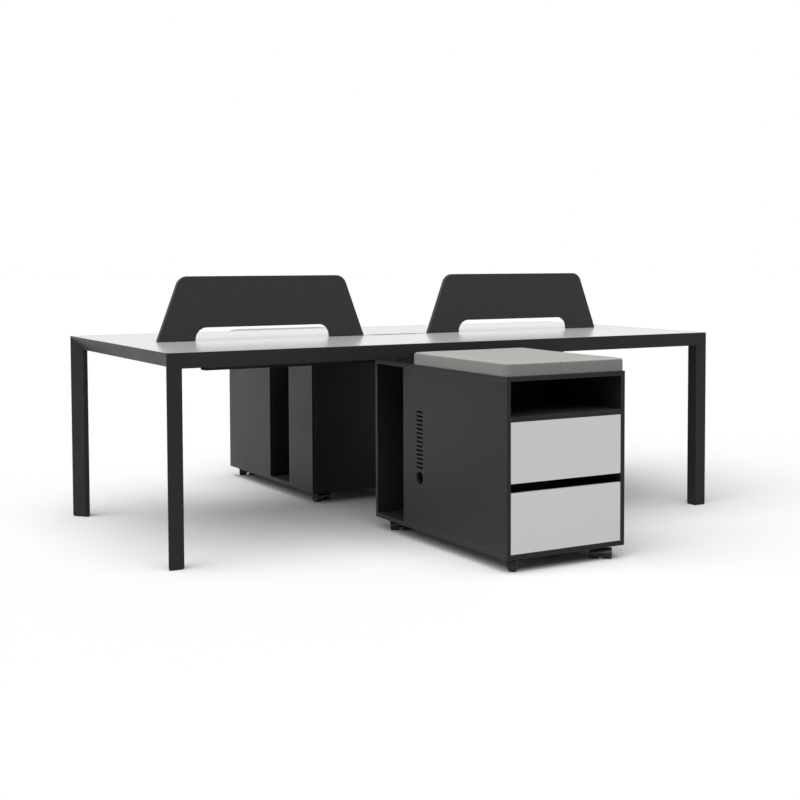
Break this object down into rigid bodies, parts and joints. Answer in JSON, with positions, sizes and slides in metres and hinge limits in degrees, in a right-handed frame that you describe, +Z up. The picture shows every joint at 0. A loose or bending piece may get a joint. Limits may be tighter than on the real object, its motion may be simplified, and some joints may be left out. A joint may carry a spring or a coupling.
{
  "type": "workstation desk",
  "caption": "Shared bench desk with a slim dark frame, white boards, low centre screens and rolling seat cabinets with drawers, an open shelf and computer bays.",
  "frame": {"origin": "on the floor under the middle of the desk", "axes": "+X along the desk, +Y towards the far long side, +Z up"},
  "size_m": [2.4, 2.5346, 1.002],
  "materials": {
    "frame_paint": "dark grey satin powder coat",
    "table_laminate": "white matt laminate on board",
    "screen_felt": "dark grey pressed felt",
    "cabinet_laminate": "dark grey matt laminate on board",
    "drawer_front_laminate": "light grey matt laminate on board",
    "drawer_box_board": "grey melamine on board",
    "cushion_fabric": "warm light grey woven fabric on foam",
    "runner_steel": "zinc-plated steel",
    "bolt_steel": "zinc-plated steel",
    "castor_steel": "black painted steel",
    "castor_tread": "black soft tread",
    "glide_plastic": "black moulded plastic"
  },
  "bodies": {
    "desk": {"left_end_rail": "frame_paint", "right_end_rail": "frame_paint", "near_long_rail": "frame_paint", "far_long_rail": "frame_paint", "near_left_leg": "frame_paint", "near_right_leg": "frame_paint", "far_left_leg": "frame_paint", "far_right_leg": "frame_paint", "foot_glides": "glide_plastic", "centre_beams": "frame_paint", "beam_brackets": "frame_paint", "cable_tray": "frame_paint", "frame_bolts": "bolt_steel", "near_top": "table_laminate", "far_top": "table_laminate", "left_screen": "screen_felt", "right_screen": "screen_felt", "screen_clamps": "frame_paint"},
    "near_cabinet": {"near_left_side_panel": "cabinet_laminate", "near_right_side_panels": "cabinet_laminate", "near_cross_panels": "cabinet_laminate", "near_top_panel": "cabinet_laminate", "near_bottom_panel": "cabinet_laminate", "near_shelf_panel": "cabinet_laminate", "near_cushion": "cushion_fabric", "near_drawer_runners": "runner_steel", "near_castor_plates": "runner_steel"},
    "near_upper_drawer": {"near_upper_drawer_front": "drawer_front_laminate", "near_upper_drawer_box": "drawer_box_board"},
    "near_lower_drawer": {"near_lower_drawer_front": "drawer_front_laminate", "near_lower_drawer_box": "drawer_box_board"},
    "near_front_left_castor": {"near_front_left_castor_fork": "castor_steel"},
    "near_front_left_wheel": {"near_front_left_castor_wheels": "castor_tread"},
    "near_front_right_castor": {"near_front_right_castor_fork": "castor_steel"},
    "near_front_right_wheel": {"near_front_right_castor_wheels": "castor_tread"},
    "near_rear_left_castor": {"near_rear_left_castor_fork": "castor_steel"},
    "near_rear_left_wheel": {"near_rear_left_castor_wheels": "castor_tread"},
    "near_rear_right_castor": {"near_rear_right_castor_fork": "castor_steel"},
    "near_rear_right_wheel": {"near_rear_right_castor_wheels": "castor_tread"},
    "far_cabinet": {"far_left_side_panel": "cabinet_laminate", "far_right_side_panels": "cabinet_laminate", "far_cross_panels": "cabinet_laminate", "far_top_panel": "cabinet_laminate", "far_bottom_panel": "cabinet_laminate", "far_shelf_panel": "cabinet_laminate", "far_cushion": "cushion_fabric", "far_drawer_runners": "runner_steel", "far_castor_plates": "runner_steel"},
    "far_upper_drawer": {"far_upper_drawer_front": "drawer_front_laminate", "far_upper_drawer_box": "drawer_box_board"},
    "far_lower_drawer": {"far_lower_drawer_front": "drawer_front_laminate", "far_lower_drawer_box": "drawer_box_board"},
    "far_front_left_castor": {"far_front_left_castor_fork": "castor_steel"},
    "far_front_left_wheel": {"far_front_left_castor_wheels": "castor_tread"},
    "far_front_right_castor": {"far_front_right_castor_fork": "castor_steel"},
    "far_front_right_wheel": {"far_front_right_castor_wheels": "castor_tread"},
    "far_rear_left_castor": {"far_rear_left_castor_fork": "castor_steel"},
    "far_rear_left_wheel": {"far_rear_left_castor_wheels": "castor_tread"},
    "far_rear_right_castor": {"far_rear_right_castor_fork": "castor_steel"},
    "far_rear_right_wheel": {"far_rear_right_castor_wheels": "castor_tread"}
  },
  "joints": [
    {"name": "near_cabinet_roll", "type": "slide", "parent": "desk", "child": "near_cabinet", "axis": [0, -1, 0], "range_m": [0, 0.36]},
    {"name": "near_upper_drawer_slide", "type": "slide", "parent": "near_cabinet", "child": "near_upper_drawer", "axis": [0, -1, 0], "range_m": [0, 0.32]},
    {"name": "near_lower_drawer_slide", "type": "slide", "parent": "near_cabinet", "child": "near_lower_drawer", "axis": [0, -1, 0], "range_m": [0, 0.32]},
    {"name": "near_front_left_castor_swivel", "type": "hinge", "parent": "near_cabinet", "child": "near_front_left_castor", "pos_m": [-0.18, -1.217, 0.043], "axis": [0, 0, 1], "continuous": true},
    {"name": "near_front_left_wheel_spin", "type": "hinge", "parent": "near_front_left_castor", "child": "near_front_left_wheel", "pos_m": [-0.1909, -1.20992, 0.0185], "axis": [0.5446, 0.8387, 0], "continuous": true},
    {"name": "near_front_right_castor_swivel", "type": "hinge", "parent": "near_cabinet", "child": "near_front_right_castor", "pos_m": [0.18, -1.217, 0.043], "axis": [0, 0, 1], "continuous": true},
    {"name": "near_front_right_wheel_spin", "type": "hinge", "parent": "near_front_right_castor", "child": "near_front_right_wheel", "pos_m": [0.17292, -1.2279, 0.0185], "axis": [-0.8387, 0.5446, 0], "continuous": true},
    {"name": "near_rear_left_castor_swivel", "type": "hinge", "parent": "near_cabinet", "child": "near_rear_left_castor", "pos_m": [-0.18, -0.38, 0.043], "axis": [0, 0, 1], "continuous": true},
    {"name": "near_rear_left_wheel_spin", "type": "hinge", "parent": "near_rear_left_castor", "child": "near_rear_left_wheel", "pos_m": [-0.18708, -0.3909, 0.0185], "axis": [-0.8387, 0.5446, 0], "continuous": true},
    {"name": "near_rear_right_castor_swivel", "type": "hinge", "parent": "near_cabinet", "child": "near_rear_right_castor", "pos_m": [0.18, -0.38, 0.043], "axis": [0, 0, 1], "continuous": true},
    {"name": "near_rear_right_wheel_spin", "type": "hinge", "parent": "near_rear_right_castor", "child": "near_rear_right_wheel", "pos_m": [0.17555, -0.36778, 0.0185], "axis": [0.9397, 0.342, 0], "continuous": true},
    {"name": "far_cabinet_roll", "type": "slide", "parent": "desk", "child": "far_cabinet", "axis": [0, 1, 0], "range_m": [0, 0.36]},
    {"name": "far_upper_drawer_slide", "type": "slide", "parent": "far_cabinet", "child": "far_upper_drawer", "axis": [0, 1, 0], "range_m": [0, 0.32]},
    {"name": "far_lower_drawer_slide", "type": "slide", "parent": "far_cabinet", "child": "far_lower_drawer", "axis": [0, 1, 0], "range_m": [0, 0.32]},
    {"name": "far_front_left_castor_swivel", "type": "hinge", "parent": "far_cabinet", "child": "far_front_left_castor", "pos_m": [0.18, 1.217, 0.043], "axis": [0, 0, 1], "continuous": true},
    {"name": "far_front_left_wheel_spin", "type": "hinge", "parent": "far_front_left_castor", "child": "far_front_left_wheel", "pos_m": [0.1909, 1.20992, 0.0185], "axis": [-0.5446, -0.8387, 0], "continuous": true},
    {"name": "far_front_right_castor_swivel", "type": "hinge", "parent": "far_cabinet", "child": "far_front_right_castor", "pos_m": [-0.18, 1.217, 0.043], "axis": [0, 0, 1], "continuous": true},
    {"name": "far_front_right_wheel_spin", "type": "hinge", "parent": "far_front_right_castor", "child": "far_front_right_wheel", "pos_m": [-0.17292, 1.2279, 0.0185], "axis": [0.8387, -0.5446, 0], "continuous": true},
    {"name": "far_rear_left_castor_swivel", "type": "hinge", "parent": "far_cabinet", "child": "far_rear_left_castor", "pos_m": [0.18, 0.38, 0.043], "axis": [0, 0, 1], "continuous": true},
    {"name": "far_rear_left_wheel_spin", "type": "hinge", "parent": "far_rear_left_castor", "child": "far_rear_left_wheel", "pos_m": [0.18708, 0.3909, 0.0185], "axis": [0.8387, -0.5446, 0], "continuous": true},
    {"name": "far_rear_right_castor_swivel", "type": "hinge", "parent": "far_cabinet", "child": "far_rear_right_castor", "pos_m": [-0.18, 0.38, 0.043], "axis": [0, 0, 1], "continuous": true},
    {"name": "far_rear_right_wheel_spin", "type": "hinge", "parent": "far_rear_right_castor", "child": "far_rear_right_wheel", "pos_m": [-0.17555, 0.36778, 0.0185], "axis": [-0.9397, -0.342, 0], "continuous": true}
  ]
}
